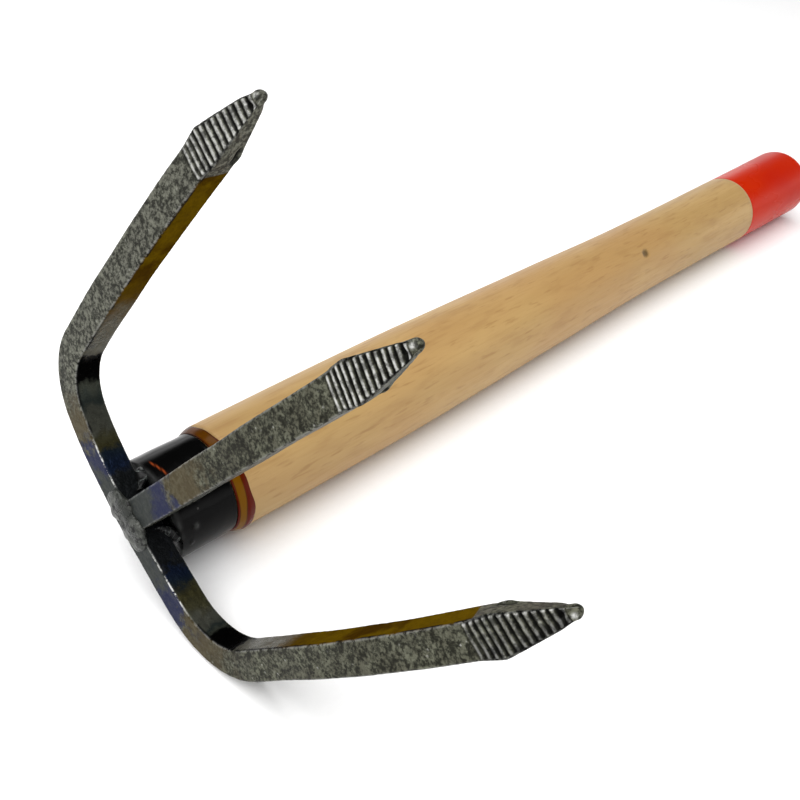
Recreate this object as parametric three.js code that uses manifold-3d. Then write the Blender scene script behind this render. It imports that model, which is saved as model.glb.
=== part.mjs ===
// Hand cultivator: a three-tined claw forged from flat bar, welded to the closed end of a steel
// ferrule, on a turned beech handle whose butt is dipped in paint.
//
// Tool frame, millimetres: X runs along the handle, from the ferrule's front rim (x = 0) to the butt.
// Y runs along the crossbar and Z is the way the tines stand. At the end the whole tool is laid down
// as it rests on a table: on the handle and on the bend of the right-hand tine.
import * as THREE from "three";
import { ParametricGeometry } from "three/addons/geometries/ParametricGeometry.js";
import { mergeVertices } from "three/addons/utils/BufferGeometryUtils.js";
import Module from "manifold-3d";

const wasm = await Module();
wasm.setup();

// ---- driving dimensions -------------------------------------------------------------------------

const TOUCH_GAP = 0.3; // left between two pieces that touch

const FERRULE_RADIUS = 14;
const FERRULE_LENGTH = 16.5; // rim to mouth
const FERRULE_WALL = 1.3;
const FERRULE_NOSE = 0.6; // how far the closed end stands in front of the rim
const FERRULE_CORNER = 2.0; // width of the rounded edge on the closed end
const FERRULE_INNER_CHAMFER = 2.0;

const HANDLE_MOUTH_RADIUS = 15.1;
const HANDLE_SWELL_RADIUS = 15.6;
const HANDLE_SWELL_AT = 66; // measured from the ferrule's mouth
const HANDLE_WAIST_RADIUS = 13.5;
const HANDLE_WAIST_AT = 205;
const HANDLE_BUTT_RADIUS = 14.4;
const HANDLE_LENGTH = 316; // shoulder to butt
const HANDLE_END_ROUNDING = 4.5;
const SPIGOT_CLEARANCE = 0.3; // on the radius

const RING_WIDTH = 3.0; // lacquered chamfer at the handle's shoulder
const RING_PROUD = 0.05; // how far the lacquer stands above the wood behind it
const RING_CROWN = 0.25; // swell in the middle of the lacquer ring
const COAT_THICKNESS = 0.4;
const COAT_GAP = 0.2;
const DIP_LENGTH = 50.5; // painted length at the butt

const BAR_WIDTH = 8.0; // in the plane of the claw
const BAR_DEPTH = 7.0; // across it
const BAR_CHAMFER = 0.8;

const CLAW_LEAN = 6.5; // degrees, tines towards the handle
const CLAW_YAW = -2.0; // degrees, welded on slightly out of square
const CLAW_HEIGHT = 5.4; // crossbar's middle above the handle's axis
const CLAW_OFFSET = 1.2; // crossbar's middle to the left of the handle's axis
const CROSSBAR_TILT = 2.4; // degrees, right side high

// Each side of the bent bar: a shallow bow, the bend, then the straight tine to its tip.
const LEFT = {
  side: 1,
  bowLength: 27.9,
  bowTurn: 13.2,
  bendRadius: 16.2,
  splay: 9.6,
  tineLength: 79.9,
  curlFrom: -35, // where the backward curve starts, from the end of the bend
  curlRadius: 450,
  tipDrift: 1.3, // how far the tip is drawn inwards, past the shoulder of the point
};
const RIGHT = {
  side: -1,
  bowLength: 26.2,
  bowTurn: 6.7,
  bendRadius: 20.8,
  splay: 7.3,
  tineLength: 88.5,
  curlFrom: 20.7,
  curlRadius: 249,
  tipDrift: 0.5,
};
const CENTRE = {
  offset: -0.8, // foot to the right of the crossbar's middle
  lean: 1.3, // degrees towards the right
  length: 109, // from the crossbar's middle
  curlFrom: 31,
  curlRadius: 598,
  tipDrift: 0,
};

const POINT_LENGTH = 15; // shoulder to tip
const POINT_SWELL = 0.5; // how much wider the shoulder is than the bar, each side
const POINT_BACK_SHARE = 0.85; // back face of the point, as a share of its ribbed face
const SHOULDER_BACK_SHARE = 1.0; // back face at the shoulder, as a share of the bar's width
const NOSE_RADIUS = 1.5;
const NOSE_FRONT = 1.1; // half width of the nose's ribbed side, in nose radii
const NOSE_BACK = 0.8; // half width of its back
const RIB_COUNT = 13;
const RIB_PITCH = 1.45;
const RIB_DEPTH = 0.45;

const FRONT_WELD_HEIGHT = 1.9; // above the claw's outer face
const FRONT_WELD_WIDTH = 4.6; // half width
const FILLET_HEIGHT = 2.4; // half height and half width of the beads along the ferrule's rim
const FILLET_WIDTH = 2.1;
const BEAD_RIPPLE = 0.12; // swell at each pass of the weld, as a share of the bead

// ---- helpers ------------------------------------------------------------------------------------

const radians = THREE.MathUtils.degToRad;

/** A geometry of position only, with shared vertices merged and collapsed triangles dropped. */
function weldVertices(geometry) {
  const bare = new THREE.BufferGeometry();
  bare.setAttribute("position", geometry.getAttribute("position").clone());
  if (geometry.index) bare.setIndex(geometry.index.clone());
  const merged = mergeVertices(bare, 1e-4);
  const index = merged.index.array;
  const kept = [];
  for (let i = 0; i < index.length; i += 3) {
    const [a, b, c] = index.slice(i, i + 3);
    if (a !== b && b !== c && c !== a) kept.push(a, b, c);
  }
  merged.setIndex(kept);
  return merged;
}

function toSolid(geometry) {
  const welded = weldVertices(geometry);
  return new wasm.Manifold(
    new wasm.Mesh({
      numProp: 3,
      vertProperties: new Float32Array(welded.getAttribute("position").array),
      triVerts: new Uint32Array(welded.index.array),
    }),
  );
}

function toGeometry(solid) {
  const mesh = solid.getMesh();
  const geometry = new THREE.BufferGeometry();
  geometry.setAttribute("position", new THREE.BufferAttribute(mesh.vertProperties, 3));
  geometry.setIndex(new THREE.BufferAttribute(mesh.triVerts, 1));
  return geometry;
}

/** A piece as a named mesh with its own material. */
function piece(name, geometry, color, roughness, metalness) {
  const mesh = new THREE.Mesh(
    weldVertices(geometry),
    new THREE.MeshStandardMaterial({ color, roughness, metalness }),
  );
  mesh.name = name;
  mesh.geometry.computeVertexNormals();
  return mesh;
}

/** A turned piece: [x, radius] points from the axis round to the axis, or a closed loop. */
function turned(points, segments) {
  const profile = points.map(([x, radius]) => new THREE.Vector2(radius, x));
  const lathe = new THREE.LatheGeometry(profile, segments);
  return lathe.rotateZ(-Math.PI / 2); // the lathe's own axis, Y, is laid along +X
}

/** A quarter of an ellipse as [x, radius] points, its start left out. */
function cornerArc(centreX, centreRadius, halfX, halfRadius, from, to, steps) {
  const points = [];
  for (let i = 1; i <= steps; i++) {
    const angle = radians(from + ((to - from) * i) / steps);
    points.push([centreX + halfX * Math.cos(angle), centreRadius + halfRadius * Math.sin(angle)]);
  }
  return points;
}

// ---- handle, ferrule and coats ------------------------------------------------------------------

const SEGMENTS = 40;
const mouth = FERRULE_LENGTH;
const butt = mouth + HANDLE_LENGTH;
const boreRadius = FERRULE_RADIUS - FERRULE_WALL;
const spigotRadius = boreRadius - SPIGOT_CLEARANCE;
const spigotEnd = FERRULE_WALL - FERRULE_NOSE + TOUCH_GAP;
const coatStep = COAT_THICKNESS + COAT_GAP;

/** The wood's bare outline, radius against distance from the shoulder. */
const gripCurve = new THREE.SplineCurve([
  new THREE.Vector2(0, HANDLE_MOUTH_RADIUS),
  new THREE.Vector2(HANDLE_SWELL_AT, HANDLE_SWELL_RADIUS),
  new THREE.Vector2(
    (HANDLE_SWELL_AT + HANDLE_WAIST_AT) / 2,
    (HANDLE_SWELL_RADIUS + HANDLE_WAIST_RADIUS) / 2,
  ),
  new THREE.Vector2(HANDLE_WAIST_AT, HANDLE_WAIST_RADIUS),
  new THREE.Vector2(HANDLE_LENGTH, HANDLE_BUTT_RADIUS),
]);

/** Radius of the handle's outside at a distance from the shoulder. */
function gripRadius(distance) {
  let low = 0;
  let high = 1;
  for (let i = 0; i < 30; i++) {
    const middle = (low + high) / 2;
    if (gripCurve.getPoint(middle).x < distance) low = middle;
    else high = middle;
  }
  return gripCurve.getPoint(low).y;
}

/** The handle's outside, inset, between two distances from the shoulder. */
function gripLine(from, to, inset, steps) {
  return Array.from({ length: steps + 1 }, (_, i) => {
    const distance = from + ((to - from) * i) / steps;
    return [mouth + distance, gripRadius(distance) - inset];
  });
}

/** The rounded butt, from its side to the axis, for a surface inset from the handle's outside. */
function buttEnd(inset, steps) {
  const rounding = HANDLE_END_ROUNDING;
  const radius = HANDLE_BUTT_RADIUS - rounding;
  return [
    ...cornerArc(butt - rounding, radius, rounding - inset, rounding - inset, 90, 0, steps),
    [butt - inset, 0],
  ];
}

function handleGeometry() {
  return turned(
    [
      [spigotEnd, 0],
      [spigotEnd, spigotRadius - FERRULE_INNER_CHAMFER],
      [spigotEnd + FERRULE_INNER_CHAMFER, spigotRadius],
      [mouth + TOUCH_GAP, spigotRadius],
      [mouth + TOUCH_GAP, FERRULE_RADIUS - coatStep],
      [mouth + RING_WIDTH, gripRadius(RING_WIDTH) - coatStep],
      [mouth + RING_WIDTH, gripRadius(RING_WIDTH)],
      ...gripLine(RING_WIDTH + 1, HANDLE_LENGTH - DIP_LENGTH, 0, 18),
      ...gripLine(HANDLE_LENGTH - DIP_LENGTH, HANDLE_LENGTH - HANDLE_END_ROUNDING, coatStep, 4),
      ...buttEnd(coatStep, 4),
    ],
    SEGMENTS,
  );
}

function dipGeometry() {
  const start = HANDLE_LENGTH - DIP_LENGTH + COAT_GAP;
  const shoulder = HANDLE_LENGTH - HANDLE_END_ROUNDING;
  const outside = [...gripLine(start, shoulder, 0, 4), ...buttEnd(0, 5)];
  const inside = [...gripLine(start, shoulder, COAT_THICKNESS, 4), ...buttEnd(COAT_THICKNESS, 4)];
  return turned([...inside.reverse(), ...outside], SEGMENTS);
}

function ringGeometry() {
  const front = mouth + TOUCH_GAP;
  const back = mouth + RING_WIDTH - COAT_GAP;
  const backRadius = gripRadius(RING_WIDTH) + RING_PROUD;
  return turned(
    [
      [front, FERRULE_RADIUS - COAT_THICKNESS],
      [front, FERRULE_RADIUS],
      [(front + back) / 2, (FERRULE_RADIUS + backRadius) / 2 + RING_CROWN],
      [back, backRadius],
      [back, backRadius - COAT_THICKNESS],
      [front, FERRULE_RADIUS - COAT_THICKNESS],
    ],
    SEGMENTS,
  );
}

/** The ferrule's outside, from the axis at its closed end to its mouth, grown by a clearance. */
function ferruleOutline(grow) {
  const flat = FERRULE_RADIUS - FERRULE_CORNER;
  return [
    [-FERRULE_NOSE - grow, 0],
    [-FERRULE_NOSE - grow, flat],
    ...cornerArc(0, flat, FERRULE_NOSE + grow, FERRULE_CORNER + grow, 180, 90, 5),
    [mouth, FERRULE_RADIUS + grow],
  ];
}

function ferruleGeometry() {
  const inner = FERRULE_WALL - FERRULE_NOSE;
  const bore = [
    [mouth, boreRadius],
    [inner + FERRULE_INNER_CHAMFER, boreRadius],
    [inner, boreRadius - FERRULE_INNER_CHAMFER],
    [inner, 0],
  ];
  return turned([...ferruleOutline(0), ...bore], SEGMENTS);
}

// ---- claw: a bar carried along a path -----------------------------------------------------------
// Claw frame: origin in the middle of the crossbar, X towards the handle, Y along the crossbar and
// Z along the tines. The ribbed faces are on the -X side.

/** A plane path of arcs and straights: {length, turn in radians} each. Gives y, z and heading. */
function arcPath(startAngle, segments) {
  return (distance) => {
    let y = 0;
    let z = 0;
    let angle = startAngle;
    let left = distance;
    segments.forEach((segment, i) => {
      const last = i === segments.length - 1;
      const run = last ? left : Math.min(left, segment.length);
      const turn = (segment.turn * run) / segment.length;
      const chord = Math.abs(turn) > 1e-9 ? (run * Math.sin(turn / 2)) / (turn / 2) : run;
      y += chord * Math.cos(angle + turn / 2);
      z += chord * Math.sin(angle + turn / 2);
      angle += turn;
      left -= run;
    });
    return { y, z, angle };
  };
}

/** One half of the bent bar, from the crossbar's middle to its tip. */
function sidePath(shape) {
  const start = radians(-shape.side * CROSSBAR_TILT);
  const bow = radians(shape.bowTurn);
  const bend = radians(90 - shape.splay) - start - bow;
  const segments = [
    { length: shape.bowLength, turn: bow },
    { length: shape.bendRadius * bend, turn: bend },
    { length: shape.tineLength, turn: 0 },
  ];
  const bendEnd = segments[0].length + segments[1].length;
  const plane = arcPath(start, segments);
  const at = (distance) => {
    const { y, z, angle } = plane(distance);
    return curled(shape, y * shape.side, z, angle, shape.side, distance - bendEnd, shape.tineLength);
  };
  return { at, bendStart: segments[0].length, bendEnd, length: bendEnd + shape.tineLength };
}

/** The centre tine, from the crossbar's middle to its tip. */
function centrePath() {
  const angle = radians(90 + CENTRE.lean);
  const at = (distance) => {
    const y = CENTRE.offset + distance * Math.cos(angle);
    return curled(CENTRE, y, distance * Math.sin(angle), angle, 1, distance, CENTRE.length);
  };
  return { at, length: CENTRE.length };
}

/** Adds the tine's backward curve and the tip's drift. Gives the middle, inward and back directions. */
function curled(shape, y, z, angle, side, distance, length) {
  const forward = new THREE.Vector3(0, side * Math.cos(angle), Math.sin(angle));
  const inward = new THREE.Vector3(0, -side * Math.sin(angle), Math.cos(angle));
  const beyond = Math.max(distance - shape.curlFrom, 0);
  const slope = beyond / shape.curlRadius;
  const rise = (beyond * beyond) / (2 * shape.curlRadius);
  const back = new THREE.Vector3(Math.cos(slope), 0, 0).addScaledVector(forward, -Math.sin(slope));
  const drift = shape.tipDrift * Math.max(0, 1 - (length - distance) / POINT_LENGTH);
  const middle = new THREE.Vector3(rise, y, z).addScaledVector(inward, drift);
  return { middle, inward, back };
}

/** Half widths and depths of the bar's section, by the distance left to the tip. */
function section(toTip, grow) {
  const bar = BAR_WIDTH / 2;
  const depth = BAR_DEPTH / 2;
  const onRibs = RIB_COUNT * RIB_PITCH + NOSE_RADIUS;
  const swell = THREE.MathUtils.smoothstep(-toTip, -onRibs, -POINT_LENGTH);
  if (toTip >= POINT_LENGTH) {
    return {
      front: bar + POINT_SWELL * swell + grow,
      back: bar * THREE.MathUtils.lerp(1, SHOULDER_BACK_SHARE, swell) + grow,
      frontDepth: depth + grow,
      backDepth: depth + grow,
    };
  }
  const share = (toTip - NOSE_RADIUS) / (POINT_LENGTH - NOSE_RADIUS);
  if (share >= 0) {
    const front = THREE.MathUtils.lerp(NOSE_RADIUS * NOSE_FRONT, bar + POINT_SWELL, share);
    const thick = THREE.MathUtils.lerp(NOSE_RADIUS, depth, share);
    const backShare = THREE.MathUtils.lerp(NOSE_BACK, POINT_BACK_SHARE, Math.min(1, share * 2));
    const back = THREE.MathUtils.lerp(front * backShare, bar * SHOULDER_BACK_SHARE, share * share);
    return {
      front: front + grow,
      back: back + grow,
      frontDepth: thick + grow,
      backDepth: thick + grow,
    };
  }
  const round = NOSE_RADIUS * Math.sqrt(Math.max(0, 1 - (1 - toTip / NOSE_RADIUS) ** 2));
  return { front: round * NOSE_FRONT, back: round * NOSE_BACK, frontDepth: round, backDepth: round };
}

/** Depth pressed into the ribbed face: half-round grooves between equal ribs. */
function ribGroove(toTip) {
  const along = (toTip - NOSE_RADIUS) / RIB_PITCH;
  if (along <= 0 || along >= RIB_COUNT) return 0;
  return RIB_DEPTH * Math.abs(Math.sin(Math.PI * along));
}

/** The section's outline: inward and back offsets, once round, as a chamfered four-sided shape. */
function outline(size, groove) {
  const { front, back, frontDepth, backDepth } = size;
  const small = Math.min(1, front / (BAR_WIDTH / 2));
  const cut = BAR_CHAMFER * small;
  const ribbed = -frontDepth + groove;
  const middle = front / 3;
  return [
    [-front + cut, -frontDepth + Math.min(groove, cut)],
    [-middle, ribbed],
    [middle, ribbed],
    [front - cut, -frontDepth + Math.min(groove, cut)],
    [front, -frontDepth + cut],
    [back, backDepth - cut],
    [back - cut, backDepth],
    [-back + cut, backDepth],
    [-back, backDepth - cut],
    [-front, -frontDepth + cut],
  ];
}

/** A closed skin over the sections at the given places; each place gives {middle, ring}. */
function skin(stations) {
  const around = stations.find((station) => station.ring.length).ring.length;
  const rows = stations.length - 1;
  const surface = (u, v, target) => {
    const station = stations[Math.round(v * rows)];
    const point = station.ring[Math.round(u * around) % around];
    target.copy(point ?? station.middle);
  };
  return new ParametricGeometry(surface, around, rows);
}

/** One section of the bar at a distance along a path. */
function barStation(path, distance, grow, ribbed) {
  const place = path.at(distance);
  const toTip = path.length - distance;
  if (toTip <= 1e-6) return { middle: place.middle, ring: [] };
  const groove = ribbed ? ribGroove(toTip) : 0;
  const ring = outline(section(toTip, grow), groove).map(([inward, back]) =>
    place.middle.clone().addScaledVector(place.inward, inward).addScaledVector(place.back, back),
  );
  return { middle: place.middle, ring };
}

const NOSE_SHARES = [0, 0.12, 0.45, 1]; // where the rounded nose has a section, in nose radii
const BOW_SHARES = [0.5, 1]; // where the shallow bow has one, as a share of its length
const BEND_SECTIONS = 9;
const SHANK_SPACING = 12;

/** Distances from the tip at which the point needs a section: nose and ribs. */
function pointSteps() {
  const nose = NOSE_SHARES.map((share) => share * NOSE_RADIUS);
  const rib = (i) => NOSE_RADIUS + ((i + 1) * RIB_PITCH) / 2;
  const ribs = Array.from({ length: 2 * RIB_COUNT }, (_, i) => rib(i));
  return [...nose, ...ribs];
}

/** Distances along a path from a start to the ribs, then through the point to the tip. */
function tineSteps(path, from) {
  const point = pointSteps().map((toTip) => path.length - toTip);
  const ribsStart = Math.min(...point);
  const count = Math.ceil((ribsStart - from) / SHANK_SPACING);
  const shank = Array.from({ length: count }, (_, i) => from + ((ribsStart - from) * i) / count);
  return [...shank, ...point.reverse()];
}

/** The bar bent into the crossbar and the two outer tines. */
function outerTinesGeometry(grow, ribbed) {
  const half = (shape) => {
    const path = sidePath(shape);
    const bow = BOW_SHARES.map((share) => share * path.bendStart);
    const bendLength = path.bendEnd - path.bendStart;
    const bend = Array.from(
      { length: BEND_SECTIONS },
      (_, i) => path.bendStart + (bendLength * (i + 1)) / BEND_SECTIONS,
    );
    const steps = [...bow, ...bend, ...tineSteps(path, path.bendEnd).slice(1)];
    return steps.map((distance) => barStation(path, distance, grow, ribbed));
  };
  const middle = barStation(sidePath(LEFT), 0, grow, ribbed);
  return skin([...half(RIGHT).reverse(), middle, ...half(LEFT)]);
}

/** The centre tine, its foot still reaching to the middle of the crossbar. */
function centreTineGeometry(grow, ribbed) {
  const path = centrePath();
  const stations = tineSteps(path, 0).map((distance) => barStation(path, distance, grow, ribbed));
  return skin([{ middle: path.at(0).middle, ring: [] }, ...stations]);
}

// ---- weld beads ---------------------------------------------------------------------------------

const BEAD_SIDES = 10;
const BEAD_ROWS = 8;

/**
 * A bead along a line in the claw frame, before its neighbours are cut out of it: a fat rounded
 * rope whose height (along X) and width (along Z) swell a little at each pass of the weld.
 */
function beadGeometry(points, height, width, passes) {
  const rightToLeft = points.map((point) => new THREE.Vector3(...point)).sort((a, b) => a.y - b.y);
  const line = new THREE.CatmullRomCurve3(rightToLeft);
  const stations = Array.from({ length: BEAD_ROWS + 1 }, (_, i) => {
    const share = i / BEAD_ROWS;
    const middle = line.getPoint(share);
    if (i === 0 || i === BEAD_ROWS) return { middle, ring: [] };
    const end = Math.sqrt(1 - (2 * share - 1) ** 4);
    const swell = end * (1 + BEAD_RIPPLE * Math.cos(2 * Math.PI * passes * share));
    const ring = Array.from({ length: BEAD_SIDES }, (_, k) => {
      const angle = (2 * Math.PI * k) / BEAD_SIDES;
      const offset = new THREE.Vector3(height * Math.sin(angle), 0, width * Math.cos(angle));
      return middle.clone().addScaledVector(offset, swell);
    });
    return { middle, ring };
  });
  return skin(stations);
}

// ---- assembly -----------------------------------------------------------------------------------

const flatRadius = FERRULE_RADIUS - FERRULE_CORNER;
// The leaning claw clears the flat of the ferrule's end at its highest point.
const clawX = -(
  FERRULE_NOSE +
  TOUCH_GAP +
  BAR_DEPTH / 2 / Math.cos(radians(CLAW_LEAN)) +
  (flatRadius - CLAW_HEIGHT) * Math.tan(radians(CLAW_LEAN)) +
  flatRadius * Math.sin(radians(Math.abs(CLAW_YAW)))
);

const claw = new THREE.Group();
claw.rotation.set(0, radians(CLAW_LEAN), radians(CLAW_YAW), "ZYX");
claw.position.set(clawX, CLAW_OFFSET, CLAW_HEIGHT);
claw.updateMatrix();

const barCutter = toSolid(outerTinesGeometry(TOUCH_GAP, false));
const centreCutter = toSolid(centreTineGeometry(TOUCH_GAP, false));
const ferruleCutter = toSolid(
  turned([...ferruleOutline(TOUCH_GAP), [mouth, 0]], SEGMENTS).applyMatrix4(claw.matrix.clone().invert()),
);

const centreTine = toSolid(centreTineGeometry(0, true)).subtract(barCutter);

/** A bead with the bars and the ferrule cut out of it. */
function bead(points, height, width, passes) {
  const rope = toSolid(beadGeometry(points, height, width, passes));
  return toGeometry(rope.subtract(barCutter).subtract(centreCutter).subtract(ferruleCutter));
}

const face = BAR_DEPTH / 2;
const edge = BAR_WIDTH / 2;
const foot = CENTRE.offset;

/** Bead on the outer face, over the seam between the crossbar and the foot of the centre tine. */
const frontWeld = bead(
  [
    [-face, foot - 8.5, edge - 2],
    [-face, foot - 3, edge - 1.5],
    [-face, foot + 3, edge - 2],
    [-face, foot + 8, edge - 2.5],
  ],
  FRONT_WELD_HEIGHT,
  FRONT_WELD_WIDTH,
  3,
);

/** Fillet between the crossbar's inner face, the ferrule's closed end and one side of the tine. */
function rimWeld(side) {
  const start = foot + side * (edge + 0.8);
  return bead(
    [
      [face - 2.2, start, edge + 0.4],
      [face + 0.4, start + side * 2.5, edge + 0.4],
      [face + 1.2, start + side * 5.5, edge - 0.2],
    ],
    FILLET_HEIGHT,
    FILLET_WIDTH,
    2,
  );
}

/** Bead between the crossbar's lower edge and the ferrule's closed end. */
const underWeld = bead(
  [
    [face, -8, -edge - 0.2],
    [face, 0, -edge - 0.4],
    [face, 8, -edge - 0.2],
  ],
  FILLET_HEIGHT,
  FILLET_WIDTH,
  3,
);

const STEEL = "#55554f";
const WELD_METAL = "#4a4b49";

claw.add(
  piece("outer_tines", outerTinesGeometry(0, true), STEEL, 0.45, 0.9),
  piece("centre_tine", toGeometry(centreTine), STEEL, 0.45, 0.9),
  piece("front_weld", frontWeld, WELD_METAL, 0.5, 0.9),
  piece("left_rim_weld", rimWeld(1), WELD_METAL, 0.5, 0.9),
  piece("right_rim_weld", rimWeld(-1), WELD_METAL, 0.5, 0.9),
  piece("under_weld", underWeld, WELD_METAL, 0.5, 0.9),
);

const tool = new THREE.Group();
tool.add(
  claw,
  piece("ferrule", ferruleGeometry(), "#0b0b0c", 0.18, 0.6),
  piece("handle", handleGeometry(), "#d9b48a", 0.5, 0),
  piece("lacquer_ring", ringGeometry(), "#a8641a", 0.2, 0),
  piece("red_end_dip", dipGeometry(), "#e8451c", 0.25, 0),
);

// ---- at rest ------------------------------------------------------------------------------------

/** Lowest height that a mesh of the tool reaches when the tool is turned. */
function lowestPoint(name) {
  const mesh = tool.getObjectByName(name);
  const corners = mesh.geometry.getAttribute("position");
  const corner = new THREE.Vector3();
  tool.updateMatrixWorld(true);
  let lowest = Infinity;
  for (let i = 0; i < corners.count; i++) {
    corner.fromBufferAttribute(corners, i).applyMatrix4(mesh.matrixWorld);
    lowest = Math.min(lowest, corner.z);
  }
  return lowest;
}

/** Rolls the tool to its right until the bent bar comes down level with the handle. */
function layDown() {
  const drop = HANDLE_SWELL_RADIUS - HANDLE_BUTT_RADIUS;
  const run = HANDLE_LENGTH - HANDLE_END_ROUNDING - HANDLE_SWELL_AT;
  const pitch = Math.atan(drop / run);
  let low = 0;
  let high = Math.PI / 3;
  for (let i = 0; i < 30; i++) {
    const roll = (low + high) / 2;
    tool.rotation.set(roll, pitch, 0, "ZYX");
    if (lowestPoint("outer_tines") > lowestPoint("handle")) low = roll;
    else high = roll;
  }
  const bounds = new THREE.Box3().setFromObject(tool, true);
  const centre = bounds.getCenter(new THREE.Vector3());
  tool.position.set(-centre.x, -centre.y, -bounds.min.z);
}

layDown();

const cultivator = new THREE.Group();
cultivator.name = "hand_cultivator";
cultivator.add(tool);

export default cultivator;
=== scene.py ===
"""Hand cultivator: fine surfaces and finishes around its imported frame, with a floor, lights and a camera.

The tool lies on the floor on its handle and on the bend of one outer tine. Shapes are worked out in the
tool's own frame, in millimetres: X from the ferrule's front rim to the butt, Y along the crossbar, Z the
way the tines stand. They are then turned and moved to where the frame has the tool.
"""
import math

import bpy
import numpy as np
from bpy.props import FloatProperty, FloatVectorProperty, IntProperty, PointerProperty
from mathutils import Matrix, Vector


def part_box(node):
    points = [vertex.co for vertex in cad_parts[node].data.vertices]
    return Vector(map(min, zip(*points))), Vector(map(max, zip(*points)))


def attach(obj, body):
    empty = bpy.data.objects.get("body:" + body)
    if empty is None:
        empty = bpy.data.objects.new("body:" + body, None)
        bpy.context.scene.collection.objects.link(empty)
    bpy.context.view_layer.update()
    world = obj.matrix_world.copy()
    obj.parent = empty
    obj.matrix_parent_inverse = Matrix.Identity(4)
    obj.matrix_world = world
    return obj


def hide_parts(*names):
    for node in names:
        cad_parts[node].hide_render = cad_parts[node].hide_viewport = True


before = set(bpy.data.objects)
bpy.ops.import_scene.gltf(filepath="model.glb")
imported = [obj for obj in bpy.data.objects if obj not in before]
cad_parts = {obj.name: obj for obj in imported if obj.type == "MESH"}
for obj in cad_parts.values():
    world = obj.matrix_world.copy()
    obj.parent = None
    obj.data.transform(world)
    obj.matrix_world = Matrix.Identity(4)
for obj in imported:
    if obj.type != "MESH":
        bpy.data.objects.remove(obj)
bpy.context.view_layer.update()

bl_info = {
    "name": "Hand Cultivator",
    "version": (1, 0, 0),
    "blender": (4, 5, 0),
    "location": "3D View > Sidebar > Cultivator",
    "description": "Builds the fine surfaces and finishes of a hand cultivator around its frame",
    "category": "Object",
}

MM = 0.001

# ---- how the tool lies, and the shape of the claw: degrees and millimetres --------------------------

TOOL_ROLL = 38.266
TOOL_PITCH = 0.280
CLAW_LEAN = 6.5
CLAW_YAW = -2.0
CLAW_PLACE = (-5.593, 1.2, 5.4)  # the crossbar's middle in the tool's frame
CROSSBAR_TILT = 2.4

FERRULE_RADIUS = 14.0
FERRULE_LENGTH = 16.5
FERRULE_NOSE = 0.6
FERRULE_CORNER = 2.0
FERRULE_WALL = 1.3

HANDLE_LENGTH = 316.0
HANDLE_OUTLINE = ((0, 15.1), (66, 15.6), (135.5, 14.55), (205, 13.5), (316, 14.4))
END_ROUNDING = 4.5
COAT = 0.4
EASE = 0.06  # how far the paint stays inside the frame's own surface

# Each side of the bent bar: a shallow bow, the bend, then the straight tine to its tip.
LEFT = {
    "side": 1, "bow_length": 27.9, "bow_turn": 13.2, "bend_radius": 16.2, "splay": 9.6,
    "length": 79.9, "curl_from": -35.0, "curl_radius": 450.0, "tip_drift": 1.3,
}
RIGHT = {
    "side": -1, "bow_length": 26.2, "bow_turn": 6.7, "bend_radius": 20.8, "splay": 7.3,
    "length": 88.5, "curl_from": 20.7, "curl_radius": 249.0, "tip_drift": 0.5,
}
CENTRE = {
    "offset": -0.8, "lean": 1.3,
    "length": 109.0, "curl_from": 31.0, "curl_radius": 598.0, "tip_drift": 0.0,
}

POINT_LENGTH = 15.0  # shoulder to tip
RUN_IN = 6.0  # over which the bar swells to the shoulder
POINT_BACK_SHARE = 0.85
NOSE_RADIUS = 1.5
NOSE_FRONT = 1.1
NOSE_BACK = 0.8
RIB_START = 0.5  # from the nose's round to the first groove
RIB_WANDER = 0.07
POCKET_AT, POCKET_ACROSS = 3.1, 0.4  # dark pocket before the nose: from the tip, and from the middle
POCKET_DEPTH = 0.6
TEAR_AT, TEAR_DEPTH, TEAR_LIP = 14.3, 0.75, 0.28  # tear in the inner side: from the tip, and how deep
FACET_AT = 19.2  # from the tip to where the inner face's colours end at the point's bare facet
FACET_SLOPE = 0.85  # how far that border leans across the face
FACET_END = 17.0
RIB_SLANT = 0.15  # how much further from the tip a rib lies at its inner end, per millimetre of width


# ---- settings ---------------------------------------------------------------------------------------


def millimetres(name, description, default, low=0.0, high=50.0):
    """A length setting shown in scene units, with its default given in millimetres."""
    return FloatProperty(
        name=name, description=description, default=default * MM, min=low * MM, max=high * MM,
        precision=5, subtype="DISTANCE", unit="LENGTH",
    )


def colour(name, description, default):
    """A colour setting, in linear red, green and blue."""
    return FloatVectorProperty(
        name=name, description=description, default=default, min=0.0, max=1.0, size=3, subtype="COLOR",
    )


class CULTIVATOR_PG_claw(bpy.types.PropertyGroup):
    bar_width: millimetres("Bar width", "Width of the bar in the plane of the claw", 8.0)
    bar_depth: millimetres("Bar depth", "Thickness of the bar across the claw", 7.0)
    point_swell: millimetres("Point swell", "How far the point's shoulder stands out each side", 0.5)
    rib_pitch: millimetres("Rib pitch", "Distance from rib to rib on the points", 1.45)
    rib_depth: millimetres("Rib depth", "Depth of the grooves between the ribs", 0.6)
    rib_count: IntProperty(name="Ribs", description="Ribs pressed into each point", default=13, min=1)
    hammering: millimetres("Hammering", "Height of the soft waves left by forging", 0.07)


class CULTIVATOR_PG_handle(bpy.types.PropertyGroup):
    ring_width: millimetres("Ring width", "Width of the lacquer ring on the shoulder", 3.0, 1.0, 8.0)
    dip_length: millimetres("Dip length", "Length of the painted butt", 50.5, 10.0, 200.0)


class CULTIVATOR_PG_welds(bpy.types.PropertyGroup):
    front_height: millimetres("Front bead", "Height of the bead on the claw's outer face", 1.9)
    front_width: millimetres("Front bead width", "Half width of the bead on the outer face", 4.6)
    fillet_height: millimetres("Fillet", "Half height of the beads along the ferrule", 2.4)
    lumps: millimetres("Lumps", "Height of the lumps on the beads", 0.32)


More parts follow.
